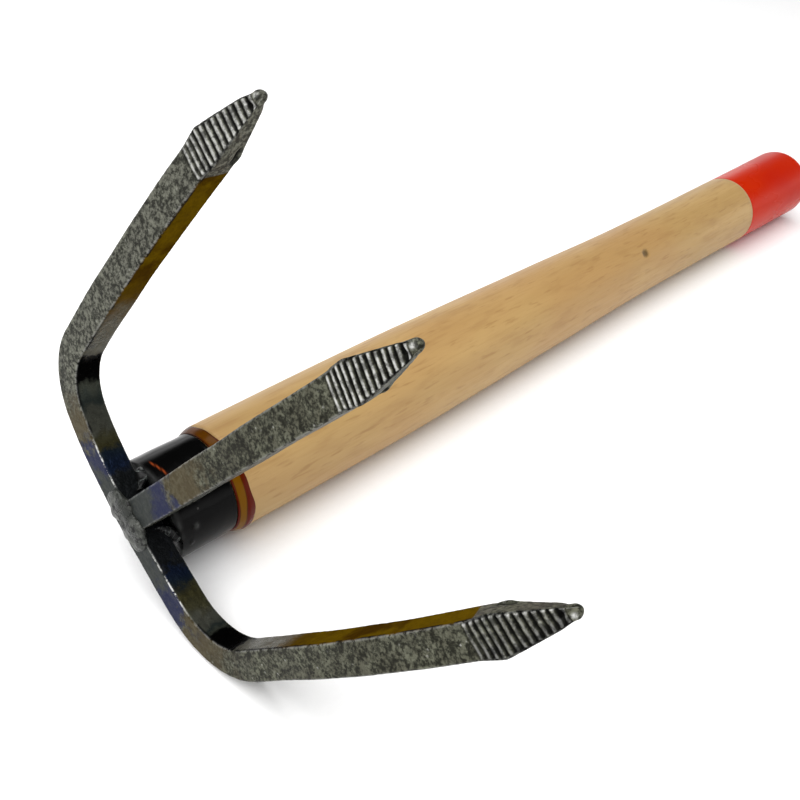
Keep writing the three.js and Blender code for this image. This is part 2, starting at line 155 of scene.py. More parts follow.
class CULTIVATOR_PG_finishes(bpy.types.PropertyGroup):
    steel: colour("Steel", "Oxidised forged steel", (0.045, 0.0445, 0.032))
    # Also the colour of the painted highlights on the rib crests, the nose and the rib ends.
    worn_steel_and_highlight: colour("Worn steel", "Bare steel along rubbed edges", (0.55, 0.55, 0.53))
    # Also the black of the painted shadow line behind the bar's front edge.
    black_scale_and_shade: colour("Scale", "Black scale in the bends and grooves", (0.004, 0.004, 0.004))
    lacquer: colour("Black lacquer", "Lacquer on the ferrule", (0.0015, 0.0015, 0.0015))
    wood: colour("Beech", "Ground colour of the handle", (0.35, 0.220, 0.080))
    wood_fleck: colour("Flecks", "Short dark flecks in the beech", (0.225, 0.115, 0.038))
    amber: colour("Amber lacquer", "Lacquer run round the handle's shoulder", (0.068, 0.018, 0.0005))
    red: colour("Red paint", "Paint on the butt", (0.44, 0.017, 0.0005))


class CULTIVATOR_PG_stage(bpy.types.PropertyGroup):
    floor: colour("Floor", "Colour of the floor", (0.97, 0.97, 0.97))
    walls: FloatProperty(name="Walls", description="Brightness of the tent's walls", default=1.9, min=0)
    ceiling: FloatProperty(name="Ceiling", description="Brightness of its ceiling", default=0.02, min=0)
    key: FloatProperty(
        name="Soft box", description="Power of the soft box", default=49.0, min=0, subtype="POWER",
    )
    lens: FloatProperty(
        name="Lens", description="Focal length", default=42.88, min=1, subtype="DISTANCE_CAMERA",
    )


# ---- shared maths -----------------------------------------------------------------------------------


def turn(axis, degrees):
    """The matrix that turns about an axis."""
    return np.array(Matrix.Rotation(math.radians(degrees), 3, axis))


TOOL_TURN = turn("Y", TOOL_PITCH) @ turn("X", TOOL_ROLL)
CLAW_TURN = turn("Z", CLAW_YAW) @ turn("Y", CLAW_LEAN)


def tool_origin():
    """The tool frame's origin in the row frame: the ferrule's box is centred half way along it."""
    low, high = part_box("ferrule")
    along = (FERRULE_LENGTH - FERRULE_NOSE) / 2
    return np.array((low + high) / 2) - TOOL_TURN @ np.array((along, 0.0, 0.0)) * MM


def tool_to_row(points):
    """Tool-frame millimetres to row-frame metres."""
    return points @ TOOL_TURN.T * MM + tool_origin()


def claw_to_row(points):
    """The claw's own millimetres, from the crossbar's middle, to row-frame metres."""
    return tool_to_row(points @ CLAW_TURN.T + np.array(CLAW_PLACE))


def smooth(low, high, value):
    """Nought below low, one above high, and a cubic ease between."""
    share = np.clip((value - low) / (high - low), 0.0, 1.0)
    return share * share * (3 - 2 * share)


def waves(points, length, seed, octaves=1):
    """Smooth lumps between about -1 and 1: sine waves of one length in scattered directions, added up.

    Each further octave adds the same at half the length and half the height.
    """
    draw = np.random.default_rng(seed)
    total = np.zeros(points.shape[:-1])
    for octave in range(octaves):
        directions = draw.normal(size=(9, 3))
        directions /= np.linalg.norm(directions, axis=1, keepdims=True)
        phases = draw.uniform(0, 2 * math.pi, 9)
        angle = points @ directions.T * (2 * math.pi * 2**octave / length) + phases
        total += np.sin(angle).sum(-1) / 3 / 2**octave
    return total / 1.5


def skin(name, rings, layers, looped=False):
    """A closed mesh over rings of points, (rings, around, 3) in metres.

    Point (i, j) is joined to its neighbours along and around, and the last point of a ring meets the first.
    The two end rings close on a pole each or, when looped, on each other as on a torus. layers holds one
    (rings, around) array for each number that the finish reads.
    """
    rows, around = rings.shape[:2]
    points = rings.reshape(-1, 3)
    i, j = np.meshgrid(np.arange(rows if looped else rows - 1), np.arange(around), indexing="ij")
    n, k = (i + 1) % rows, (j + 1) % around
    quads = np.stack([i * around + j, n * around + j, n * around + k, i * around + k], -1).reshape(-1, 4)
    caps = np.empty((0, 3), int)
    if not looped:
        first = np.arange(around)
        second = (first + 1) % around
        last = (rows - 1) * around
        start = np.full(around, rows * around)
        caps = np.concatenate([
            np.stack([start, first, second], -1),
            np.stack([start + 1, last + second, last + first], -1),
        ])
        points = np.concatenate([points, [rings[0].mean(0), rings[-1].mean(0)]])
    a, b, c, d = (points[quads[:, corner]] for corner in range(4))
    volume = np.einsum("ij,ij->", a, np.cross(b, c)) + np.einsum("ij,ij->", a, np.cross(c, d))
    if volume < 0:
        quads, caps = quads[:, ::-1], caps[:, ::-1]
    mesh = bpy.data.meshes.new(name)
    mesh.from_pydata(points.tolist(), [], quads.tolist() + caps.tolist())
    for layer, values in layers.items():
        ends = [] if looped else [values[0].mean(), values[-1].mean()]
        field = mesh.attributes.new(layer, "FLOAT", "POINT")
        field.data.foreach_set("value", np.concatenate([values.ravel(), ends]).astype(np.float32))
    mesh.shade_smooth()
    piece = bpy.data.objects.new(name, mesh)
    bpy.context.scene.collection.objects.link(piece)
    return piece


def fit(piece, node, material):
    """The piece stands for a node of the frame and its finish."""
    piece.data.materials.append(material)
    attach(piece, "root")
    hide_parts(node)
    return piece


# ---- the claw's paths -------------------------------------------------------------------------------


def arc_path(start, segments, distance):
    """Arcs and straights laid end to end in a plane: each is (length, turn in radians).

    The chord of each arc is its length times sin(turn / 2) over turn / 2, and points half the turn away
    from the heading at its start. The last segment carries on past its end.
    """
    y = np.zeros_like(distance)
    z = np.zeros_like(distance)
    heading = np.full_like(distance, start)
    left = distance.copy()
    for number, (length, bend) in enumerate(segments, 1):
        run = left if number == len(segments) else np.clip(left, 0, length)
        turned = bend * run / length
        chord = run * np.sinc(turned / 2 / math.pi)
        y += chord * np.cos(heading + turned / 2)
        z += chord * np.sin(heading + turned / 2)
        heading += turned
        left -= run
    return y, z, heading


def curled(shape, y, z, heading, side, distance):
    """Bends a plane path backwards from a place on, as a parabola, and draws its tip inwards."""
    none = np.zeros_like(distance)
    forward = np.stack([none, side * np.cos(heading), np.sin(heading)], -1)
    inward = np.stack([none, -side * np.sin(heading), np.cos(heading)], -1)
    beyond = np.maximum(distance - shape["curl_from"], 0)
    slope = beyond / shape["curl_radius"]
    rise = beyond**2 / (2 * shape["curl_radius"])
    back = np.stack([np.cos(slope), none, none], -1) - np.sin(slope)[:, None] * forward
    to_tip = shape["length"] - distance
    drift = shape["tip_drift"] * np.maximum(0, 1 - to_tip / POINT_LENGTH)
    middle = np.stack([rise, y, z], -1) + drift[:, None] * inward
    return {"middle": middle, "inward": inward, "back": back, "to_tip": to_tip, "distance": distance}


def side_lengths(shape):
    """Heading at the crossbar's middle, turn of the bend, and how far along the bend ends."""
    start = math.radians(-shape["side"] * CROSSBAR_TILT)
    bend = math.radians(90 - shape["splay"] - shape["bow_turn"]) - start
    return start, bend, shape["bow_length"] + shape["bend_radius"] * bend


def side_path(shape, distance):
    """One half of the bent bar at distances from the crossbar's middle."""
    start, bend, bend_end = side_lengths(shape)
    segments = [
        (shape["bow_length"], math.radians(shape["bow_turn"])),
        (shape["bend_radius"] * bend, bend),
        (shape["length"], 0.0),
    ]
    y, z, heading = arc_path(start, segments, distance)
    return curled(shape, y * shape["side"], z, heading, shape["side"], distance - bend_end)


def centre_path(distance):
    """The middle tine: a straight line that leans a little to one side, curled back as the others are."""
    heading = np.full_like(distance, math.radians(90 + CENTRE["lean"]))
    y = CENTRE["offset"] + distance * np.cos(heading)
    return curled(CENTRE, y, distance * np.sin(heading), heading, 1, distance)


def stations(start, end, ribs_from):
    """Distances along a tine: near a millimetre apart on the shank, a tenth of one on the point."""
    shank = np.linspace(start, end - ribs_from, math.ceil((end - ribs_from - start) / 0.9), endpoint=False)
    point = end - ribs_from * (1 - np.linspace(0, 1, math.ceil(ribs_from / 0.11), endpoint=False))
    nose = end - NOSE_RADIUS * 0.3 * (1 - np.linspace(0, 1, 8)) ** 2
    point = point[point < nose[0]]
    return np.concatenate([shank, point, nose[:-1]])


# Where the colours of the inner face change, measured along the bar from the crossbar's middle: burnt,
# blue, straw, grey, mottled, black in the bend, grey again, and brown to the tip.
LEFT_ZONES = (0, 11.5, 17, 21, 28.5, 37.5, 46.5, 62, 84)
RIGHT_ZONES = (0, 17, 21.5, 30, 36, 38.5, 48.5, 66, 80)
CENTRE_BLUE = 15.5  # distance from the crossbar's middle to the blue band on the middle tine


# ---- the bar's section ------------------------------------------------------------------------------

CORNER = 0.15  # rounding of the section's corners, as a share of its half width
FRONT_STEPS, SIDE_STEPS, BACK_STEPS, CORNER_STEPS = 26, 12, 14, 5


def section_ring():
    """Once round a square of half side one with rounded corners: (points, 2), inward and back."""
    flat = 1 - CORNER
    runs = (
        ((-flat, -1), (flat, -1), (flat, -flat), FRONT_STEPS),
        ((1, -flat), (1, flat), (flat, flat), SIDE_STEPS),
        ((flat, 1), (-flat, 1), (-flat, flat), BACK_STEPS),
        ((-1, flat), (-1, -flat), (-flat, -flat), SIDE_STEPS),
    )
    parts = []
    for number, (start, end, corner, steps) in enumerate(runs):
        share = np.linspace(0, 1, steps, endpoint=False)[:, None]
        parts.append(np.array(start) * (1 - share) + np.array(end) * share)
        angle = np.radians(90 * number - 90 + np.linspace(0, 90, CORNER_STEPS, endpoint=False))
        parts.append(np.array(corner) + CORNER * np.stack([np.cos(angle), np.sin(angle)], -1))
    return np.concatenate(parts)


def section_sizes(to_tip, half_width, half_depth, swell):
    """Half widths of the ribbed and the back face, and half depth, at distances from the tip.

    The bar swells to the shoulder, narrows in a straight line to the nose, and ends as half a circle.
    """
    shoulder = half_width + swell
    onset = smooth(POINT_LENGTH + RUN_IN, POINT_LENGTH, to_tip)
    taper = np.clip((to_tip - NOSE_RADIUS) / (POINT_LENGTH - NOSE_RADIUS), 0, 1)
    nose = np.sqrt(np.clip(1 - (1 - to_tip / NOSE_RADIUS).clip(0, 1) ** 2, 0, 1))
    front = np.where(
        to_tip > POINT_LENGTH, half_width + swell * onset,
        NOSE_RADIUS * NOSE_FRONT * (1 - taper) + shoulder * taper,
    )
    share = 1 + (NOSE_BACK / NOSE_FRONT - 1) * (1 - taper) ** 2 - (1 - POINT_BACK_SHARE) * taper * onset
    depth = NOSE_RADIUS * (1 - taper) + half_depth * taper
    return front * nose, front * share * nose, depth * nose


def bar_skin(name, path, claw):
    """The bar carried along a path: (1) the section scaled to its place, (2) ribs pressed into the front
    face of the point, as rounded ridges between narrow grooves, (3) soft waves from the hammer."""
    ring = section_ring()
    circle = ring / np.linalg.norm(ring, axis=1, keepdims=True)
    half_width, half_depth = claw.bar_width / MM / 2, claw.bar_depth / MM / 2
    swell, pitch, depth = claw.point_swell / MM, claw.rib_pitch / MM, claw.rib_depth / MM
    to_tip = path["to_tip"]
    front, back, deep = section_sizes(to_tip, half_width, half_depth, swell)
    a, b = ring[:, 0], ring[:, 1]
    round_off = smooth(4.2, 1.2, to_tip)[:, None]
    share = (b + 1) / 2
    width = front[:, None] * (1 - share) + back[:, None] * share
    inward = (a * (1 - round_off) + circle[:, 0] * round_off) * width
    behind = (b * (1 - round_off) + circle[:, 1] * round_off) * deep[:, None]

    # Ribs lean a little, wander, and die away at both ends and towards the bar.
    seed = len(name)
    flat = np.stack([np.broadcast_to(to_tip[:, None], inward.shape), inward, 0 * inward], -1)
    wander = waves(flat, 5.0, seed + 1, 2)
    local = to_tip[:, None] - RIB_SLANT * inward + RIB_WANDER * wander
    along = (local - NOSE_RADIUS - RIB_START) / pitch
    ridge = np.abs(np.sin(math.pi * along)) ** 0.5
    inside = smooth(0.0, 0.25, along) * smooth(claw.rib_count + 0.15, claw.rib_count - 0.1, along)
    strength = 0.45 + 0.55 * smooth(claw.rib_count, claw.rib_count - 2.5, along)
    on_front = smooth(-0.90, -0.985, b)
    ends = smooth(1.0, 0.86, np.abs(a) + 0.06 * wander)
    valley = 1 - ridge * ends * (0.93 + 0.07 * wander)
    groove = depth * valley * inside * strength * on_front
    pocket_along = (to_tip[:, None] - POCKET_AT - 0.5 * wander) / 0.7
    pocket = np.exp(-(pocket_along**2) - ((inward - POCKET_ACROSS) / 1.2) ** 2) * on_front
    behind = behind + np.minimum(groove + POCKET_DEPTH * pocket, 0.6 * deep[:, None])

    # A tear in the inner side near the back edge at the shoulder, with a raised lip behind it.
    torn = np.exp(-(((to_tip[:, None] - TEAR_AT + 1.2 * (b - 0.6)) / 2.0) ** 4)) * (a > 0)
    tear = torn * np.exp(-(((b - 0.62 - 0.05 * wander) / 0.17) ** 2)) * smooth(0.9, 0.99, a)
    lip = torn * smooth(0.72, 0.97, b)
    inward = inward - TEAR_DEPTH * tear + TEAR_LIP * lip * (1 + 0.5 * wander)

    middle, side, rear = (path[key][:, None, :] for key in ("middle", "inward", "back"))
    points = middle + inward[..., None] * side + behind[..., None] * rear
    outward = a[:, None] * side + b[:, None] * rear
    height = claw.hammering / MM * smooth(0, 4, to_tip)[:, None]
    relief = height * (waves(points, 17.0, seed + 2) - 1.75) + 0.022 * (waves(points, 1.7, seed + 3, 2) - 1)
    points = points + relief[..., None] * outward

    dark = smooth(0.16, 0.46, valley + 0.05 * wander) * inside * on_front * (0.35 + 0.65 * strength)
    black_scale_and_shade = (1 - path["shine"][:, None]) * smooth(0.3, -0.6, a) * inside * on_front
    dark = np.maximum(dark, 1.2 * black_scale_and_shade * smooth(-0.9, 0.3, wander))
    # Painted highlight on the rib crests, shaped as rounded rods and partly standing for steel rubbed bare;
    # shine sets its strength on each tine.
    rods = smooth(0.86, 1.0, ridge * ends) * inside * on_front
    # Painted highlights: a bright spot on the round of the nose, and bright dots at the inner ends of the
    # ribs.
    nose = np.exp(-(((to_tip[:, None] - 1.25) / 0.45) ** 2) - ((inward + 0.25) / 0.45) ** 2) * on_front
    rib_end_highlights = np.exp(-(((a - 0.84) / 0.05) ** 2)) * smooth(0.75, 0.95, ridge) * inside * on_front
    bright = 1.6 * nose + 1.4 * rib_end_highlights * (1.0 - 0.6 * path["shine"][:, None])

    # Edges: the rounded corners are drawn brighter, partly rubbed bare steel and partly painted highlight,
    # most along the crossbar's inner front edge.
    corner = np.minimum(np.abs(a), np.abs(b))
    rim = smooth(0.91, 0.96, corner) * (a > 0) * (b < 0)
    edge_wear_and_highlight = path["edge_wear_and_highlight"][:, None] * rim * (1 + 0.6 * wander).clip(0, 1.5)
    # Painted shadow: a thin dark line on the inner face just behind the front edge.
    edge_shadow_line = smooth(0.9, 1.0, a) * smooth(-0.99, -0.93, b) * smooth(-0.72, -0.84, b) * path["dark"][:, None]
    facet_border = to_tip[:, None] + FACET_SLOPE * path["facet"][:, None] * b - FACET_AT
    off_facet = smooth(-0.25, 0.25, facet_border) * smooth(FACET_END, FACET_END + 1, to_tip)[:, None]
    layers = {
        "edge": 1.5 * edge_wear_and_highlight + 0.18 * np.broadcast_to(smooth(0.86, 0.955, corner), inward.shape),
        "edge_shadow_line": edge_shadow_line,
        "groove": np.clip(dark + 1.9 * pocket + 1.5 * tear, 0, 1),
        "crest": np.clip(rods * path["shine"][:, None] + bright, 0, 1),
        "inner": smooth(0.95, 0.995, a) * off_facet,
    }
    for key in ("zone", "weld_heat", "pale"):
        layers[key] = np.broadcast_to(path[key][:, None], inward.shape)
    return skin(name, claw_to_row(points), layers)


def joined(first, second):
    """Two halves of a path, the first turned round, as one path."""
    return {key: np.concatenate([first[key][::-1], second[key][1:]]) for key in first}


# ---- finishes ---------------------------------------------------------------------------------------


MIX_FIRST, MIX_SECOND, MIX_RESULT = 6, 7, 2  # the colour sockets of a Mix node


class Finish:
    """A material under construction: each call adds a node and gives back its output."""

    def __init__(self, name):
        self.material = bpy.data.materials.new(name)
        self.material.use_nodes = True
        self.tree = self.material.node_tree
        self.tree.nodes.clear()
        output = self.tree.nodes.new("ShaderNodeOutputMaterial")
        self.shader = self.tree.nodes.new("ShaderNodeBsdfPrincipled")
        self.tree.links.new(self.shader.outputs[0], output.inputs["Surface"])
        self.here = self.tree.nodes.new("ShaderNodeTexCoord").outputs["Object"]

    def add(self, kind, inputs, output=0, **settings):
        """Adds a node of a kind, sets its inputs to values or links, and gives one of its outputs."""
        node = self.tree.nodes.new(kind)
        for key, value in settings.items():
            setattr(node, key, value)
        for key, value in inputs.items():
            self.put(node.inputs[key], value)
        return node.outputs[output]

    def put(self, socket, value):
        """Links an output to a socket, or sets the socket to a number or a colour."""
        if isinstance(value, bpy.types.NodeSocket):
            self.tree.links.new(value, socket)
        elif hasattr(value, "__len__") and len(value) == 3 and socket.type == "RGBA":
            socket.default_value = (*value, 1.0)
        else:
            socket.default_value = value

    def layer(self, name):
        """A number that the mesh carries at each point."""
        return self.add("ShaderNodeAttribute", {}, "Fac", attribute_name=name)

    def scaled(self, factors, turned=(0, 0, 0)):
        """Coordinates stretched along their axes: a factor below one draws a pattern out."""
        inputs = {"Vector": self.here, "Scale": factors, "Rotation": turned}
        return self.add("ShaderNodeMapping", inputs)

    def noise(self, size, detail=3.0, rough=0.55, where=None, distortion=0.0):
        """Cloudy noise whose patches are about size metres across."""
        inputs = {
            "Vector": where or self.here, "Scale": 1 / size, "Detail": detail,
            "Roughness": rough, "Distortion": distortion,
        }
        return self.add("ShaderNodeTexNoise", inputs, "Fac")

    def cells(self, size):
        """Distance to the nearest of scattered points that lie about size metres apart."""
        return self.add("ShaderNodeTexVoronoi", {"Vector": self.here, "Scale": 1 / size}, "Distance")

    def ease(self, value, low, high, to_low=0.0, to_high=1.0):
        """A cubic ease from to_low, at low and below, to to_high, at high and above."""
        inputs = {0: value, 1: low, 2: high, 3: to_low, 4: to_high}
        return self.add("ShaderNodeMapRange", inputs, interpolation_type="SMOOTHSTEP")

    def maths(self, operation, first, second):
        return self.add("ShaderNodeMath", {0: first, 1: second}, operation=operation)

    def times(self, first, second):
        return self.maths("MULTIPLY", first, second)

    def plus(self, first, second):
        return self.maths("ADD", first, second)

    def blend(self, share, first, second, mode="MIX"):
        """The first colour where the share is nought, and the second where it is one."""
        node = self.tree.nodes.new("ShaderNodeMix")
        node.data_type = "RGBA"
        node.blend_type = mode
        for socket, value in ((0, share), (MIX_FIRST, first), (MIX_SECOND, second)):
            self.put(node.inputs[socket], value)
        return node.outputs[MIX_RESULT]

    def bump(self, height, distance, strength):
        """Fine relief of a height that counts for a distance in metres."""
        inputs = {"Height": height, "Distance": distance, "Strength": strength}
        return self.add("ShaderNodeBump", inputs)

    def finish(self, **inputs):
        """Sets the shader's sockets and gives the material."""
        for key, value in inputs.items():
            self.put(self.shader.inputs[key.replace("_", " ")], value)
        return self.material


# Colours met along the bar's inner face on the way out from the weld, with the zone where each begins.
INNER_COLOURS = (
    (0.0, (0.009, 0.010, 0.010)), (0.9, (0.009, 0.010, 0.011)), (1.15, (0.006, 0.010, 0.023)),
    (1.8, (0.009, 0.014, 0.020)), (2.15, (0.036, 0.033, 0.014)), (2.8, (0.044, 0.042, 0.022)),
    (3.2, (0.055, 0.056, 0.044)), (3.8, (0.050, 0.052, 0.042)), (4.15, (0.018, 0.023, 0.021)),
    (4.7, (0.034, 0.037, 0.029)), (4.95, (0.0012, 0.0012, 0.0012)), (6.0, (0.0012, 0.0012, 0.0012)),
    (6.1, (0.080, 0.077, 0.058)), (6.8, (0.083, 0.076, 0.050)), (7.4, (0.064, 0.035, 0.003)),
    (8.0, (0.086, 0.050, 0.0015)),
)
ZONES = 8.0

# Tones beside the ones that the settings hold.
STEEL_LIGHT, STEEL_DULL, STEEL_PALE = (0.075, 0.0765, 0.056), (0.026, 0.025, 0.018), (0.097, 0.098, 0.084)
STEEL_SPECK, STEEL_SCRATCH, STEEL_GLINT = (0.20, 0.20, 0.18), (0.010, 0.010, 0.009), (0.09, 0.10, 0.10)
TINT_SLATE, TINT_BLUE, TINT_STRAW = (0.024, 0.028, 0.028), (0.010, 0.013, 0.046), (0.060, 0.045, 0.020)
EMBER_BROWN = (0.020, 0.006, 0.001)
BEAD_DARK, BEAD_LIGHT, BEAD_RIPPLE = (0.022, 0.024, 0.021), (0.078, 0.081, 0.072), (0.100, 0.110, 0.105)
DUST_GREY, BURNT_GREY, REFLECTED_ORANGE = (0.12, 0.12, 0.11), (0.030, 0.031, 0.030), (0.30, 0.055, 0.012)
BEECH_LIGHT, BEECH_BLUSH, BEECH_FIBRE = (0.405, 0.262, 0.102), (0.345, 0.192, 0.070), (0.30, 0.172, 0.062)
BEECH_RAY, KNOT_BROWN = (0.27, 0.148, 0.052), (0.105, 0.062, 0.020)
AMBER_CLOUD, AMBER_THIN = (0.050, 0.014, 0.0005), (0.150, 0.062, 0.001)
EDGE_BROWN, POOL_RED = (0.035, 0.010, 0.0005), (0.085, 0.005, 0.0005)
RED_DEEP = (0.38, 0.009, 0.0005)


def forged_steel(colours, name):
    """Oxidised grey-olive steel: mottled, specked and scratched, black in the grooves, bright on the rib
    crests and on the bar's edges, partly rubbed bare and partly painted highlight, with painted highlights on
    the nose and rib ends and a painted shadow line behind the front edge. The inner faces run from burnt
    black at the weld through blue, straw and grey to black scale in the bend, then grey and a brown film
    along the tine."""
    make = Finish(name)
    edge, groove, crest = make.layer("edge"), make.layer("groove"), make.layer("crest")
    inner, zone, edge_shadow_line = make.layer("inner"), make.layer("zone"), make.layer("edge_shadow_line")
    heat = make.layer("weld_heat")
    cloud = make.noise(0.013, 4, 0.6)
    patch = make.noise(0.0042, 4, 0.65)
    grain = make.noise(0.0016, 5, 0.75)
    specks = make.ease(make.cells(0.0019), 0.08, 0.20, 1, 0)
    scratch = make.noise(0.0020, 2, 0.5, make.scaled((1, 0.10, 1), (0.4, 0.9, 0.2)))
    dust = make.noise(0.0008, 2, 0.6)
    steel = make.blend(make.ease(patch, 0.38, 0.66), tuple(colours.steel), STEEL_LIGHT)
    steel = make.blend(make.ease(cloud, 0.40, 0.68, 0.0, 0.45), steel, STEEL_DULL)
    steel = make.blend(make.times(specks, make.ease(patch, 0.50, 0.62)), steel, STEEL_SPECK)
    steel = make.blend(make.ease(scratch, 0.72, 0.77, 0, 0.7), steel, STEEL_SCRATCH)
    steel = make.blend(make.times(make.layer("pale"), 0.50), steel, STEEL_PALE)
    mottle = make.times(make.ease(grain, 0.40, 0.60, 0.40, 1.45), make.ease(dust, 0.35, 0.65, 0.72, 1.22))
    steel = make.blend(1.0, steel, mottle, "MULTIPLY")
    # Faint heat tint on the outer faces near the weld: slate, blue, then straw.
    warmth = make.plus(heat, make.ease(patch, 0.3, 0.7, -0.25, 0.25))
    steel = make.blend(make.ease(warmth, 1.0, 1.5, 0.85, 0), steel, TINT_SLATE)
    blue = make.times(make.ease(warmth, 0.9, 1.3), make.ease(warmth, 1.5, 1.9, 1, 0))
    steel = make.blend(make.times(blue, 0.9), steel, TINT_BLUE)
    straw = make.times(make.ease(warmth, 1.6, 2.0), make.ease(warmth, 2.2, 3.0, 1, 0))
    steel = make.blend(make.times(straw, 0.75), steel, TINT_STRAW)
    # The inner face's own colours.
    place = make.plus(zone, make.ease(patch, 0.25, 0.75, -0.30, 0.30))
    ramp = make.tree.nodes.new("ShaderNodeValToRGB")
    for number, (start, tone) in enumerate(INNER_COLOURS):
        stops = ramp.color_ramp.elements
        stop = stops[number] if number < 2 else stops.new(start / ZONES)
        stop.position = start / ZONES
        stop.color = (*tone, 1.0)
    make.put(ramp.inputs[0], make.maths("DIVIDE", place, ZONES))
    face = make.blend(make.ease(grain, 0.35, 0.75, 0, 0.35), ramp.outputs[0], (0.0, 0.0, 0.0))
    brown_far = make.times(make.ease(zone, 7.2, 7.9), make.ease(cloud, 0.50, 0.66))
    face = make.blend(make.times(brown_far, 0.7), face, EMBER_BROWN)
    lights = make.times(make.ease(grain, 0.60, 0.80), make.ease(zone, 4.9, 4.2))
    face = make.blend(make.times(lights, 0.5), face, STEEL_GLINT)
    steel = make.blend(inner, steel, face)
    # Painted shadow line behind the front edge, broken into dashes, in the black of the scale.
    steel = make.blend(make.times(edge_shadow_line, make.ease(patch, 0.62, 0.45)), steel, tuple(colours.black_scale_and_shade))
    steel = make.blend(make.times(groove, 0.95), steel, tuple(colours.black_scale_and_shade))
    ragged = make.ease(make.noise(0.0016, 4, 0.75), 0.40, 0.56)
    # Bright steel on the edges and rib crests: partly rubbed bare, partly painted highlight, with the nose
    # and rib-end highlights.
    shiny = make.times(crest, make.ease(grain, 0.38, 0.60, 0.22, 0.85))
    bright = make.maths("MAXIMUM", make.times(edge, ragged), shiny)
    steel = make.blend(bright, steel, tuple(colours.worn_steel_and_highlight))
    film = make.times(inner, make.ease(zone, 6.8, 7.6))
    bumps = make.times(make.noise(0.0024, 3, 0.6), make.times(inner, make.ease(zone, 2.2, 0.8)))
    height = make.plus(make.plus(make.times(grain, 0.5), make.times(scratch, 0.4)), make.times(bumps, 3.0))
    rough = make.ease(patch, 0.3, 0.7, 0.36, 0.52)
    rough = make.plus(rough, make.times(inner, -0.16))
    return make.finish(
        Base_Color=steel, Metallic=make.ease(film, 0, 1, 0.5, 0.0), Roughness=rough,
        Specular_IOR_Level=0.0, Normal=make.bump(height, 0.0002, 0.9),
    )


def weld_metal(colours):
    """Burnt bead: grey skin with black pits on its outside, glossy black with thin grey ripples below."""
    make = Finish("weld metal")
    open_side = make.layer("open_side")
    lumps = make.noise(0.0030, 4, 0.6, distortion=0.4)
    pits = make.ease(make.noise(0.0024, 3, 0.6), 0.53, 0.60)
    ripple = make.noise(0.0036, 2, 0.5, distortion=1.2)
    line = make.times(make.ease(ripple, 0.46, 0.50), make.ease(ripple, 0.50, 0.54, 1, 0))
    outside = make.blend(make.ease(lumps, 0.35, 0.65), BEAD_DARK, BEAD_LIGHT)
    outside = make.blend(make.times(pits, 0.9), outside, tuple(colours.black_scale_and_shade))
    below = make.blend(make.times(line, 0.9), tuple(colours.black_scale_and_shade), BEAD_RIPPLE)
    burnt = make.blend(open_side, below, outside)
    height = make.plus(make.times(lumps, 0.6), make.plus(make.times(pits, -0.5), make.times(line, 0.4)))
    return make.finish(
        Base_Color=burnt, Metallic=0.4, Roughness=make.ease(lumps, 0.3, 0.7, 0.30, 0.45),
        Specular_IOR_Level=0.3, Normal=make.bump(height, 0.0006, 0.7),
    )


def black_lacquer(colours):
    """Thick gloss lacquer: near black, with a faint orange peel and a few specks of dust."""
    make = Finish("black lacquer")
    burnt = make.layer("burnt")
    peel = make.noise(0.004, 2, 0.4)
    dust = make.ease(make.cells(0.0045), 0.05, 0.09, 1, 0)
    tone = make.blend(make.times(dust, 0.25), tuple(colours.lacquer), DUST_GREY)
    tone = make.blend(burnt, tone, BURNT_GREY)
    # Painted reflection: a thin orange line on the gloss lacquer.
    tone = make.blend(make.times(make.layer("orange_reflection"), 0.8), tone, REFLECTED_ORANGE)
    return make.finish(
        Base_Color=tone, Roughness=make.plus(make.ease(peel, 0.3, 0.7, 0.10, 0.16), make.times(burnt, 0.3)),
        Specular_IOR_Level=0.06, Normal=make.bump(peel, 0.0002, 0.35),
    )


def beech(colours):
    """Turned beech: pale ground with long soft bands, short dark flecks along the grain, a pin knot and a
    thin satin varnish."""
    make = Finish("beech")
    knot = make.layer("knot")
    bands = make.noise(0.010, 3, 0.5, make.scaled((0.10, 1, 1)), 0.4)
    blush = make.noise(0.030, 2, 0.5, make.scaled((0.55, 1, 1)))
    fibre = make.noise(0.0007, 3, 0.6, make.scaled((0.045, 1, 1)))
    fleck = make.noise(0.0012, 2, 0.5, make.scaled((0.15, 1, 1)))
    rays = make.noise(0.0030, 3, 0.5, make.scaled((0.22, 1, 1)))
    wood = make.blend(make.ease(bands, 0.35, 0.68), tuple(colours.wood), BEECH_LIGHT)
    wood = make.blend(make.ease(blush, 0.4, 0.7, 0, 0.55), wood, BEECH_BLUSH)
    wood = make.blend(make.ease(fibre, 0.45, 0.75, 0, 0.35), wood, BEECH_FIBRE)
    wood = make.blend(make.ease(fleck, 0.56, 0.74, 0, 0.45), wood, tuple(colours.wood_fleck))
    wood = make.blend(make.ease(rays, 0.48, 0.72, 0, 0.42), wood, BEECH_RAY)
    wood = make.blend(knot, wood, KNOT_BROWN)
    return make.finish(
        Base_Color=wood, Roughness=make.ease(fibre, 0.3, 0.7, 0.42, 0.55),
        Specular_IOR_Level=0.25, Coat_Weight=0.08, Coat_Roughness=0.3,
        Normal=make.bump(make.plus(fibre, make.times(fleck, 0.5)), 0.00006, 0.5),
    )


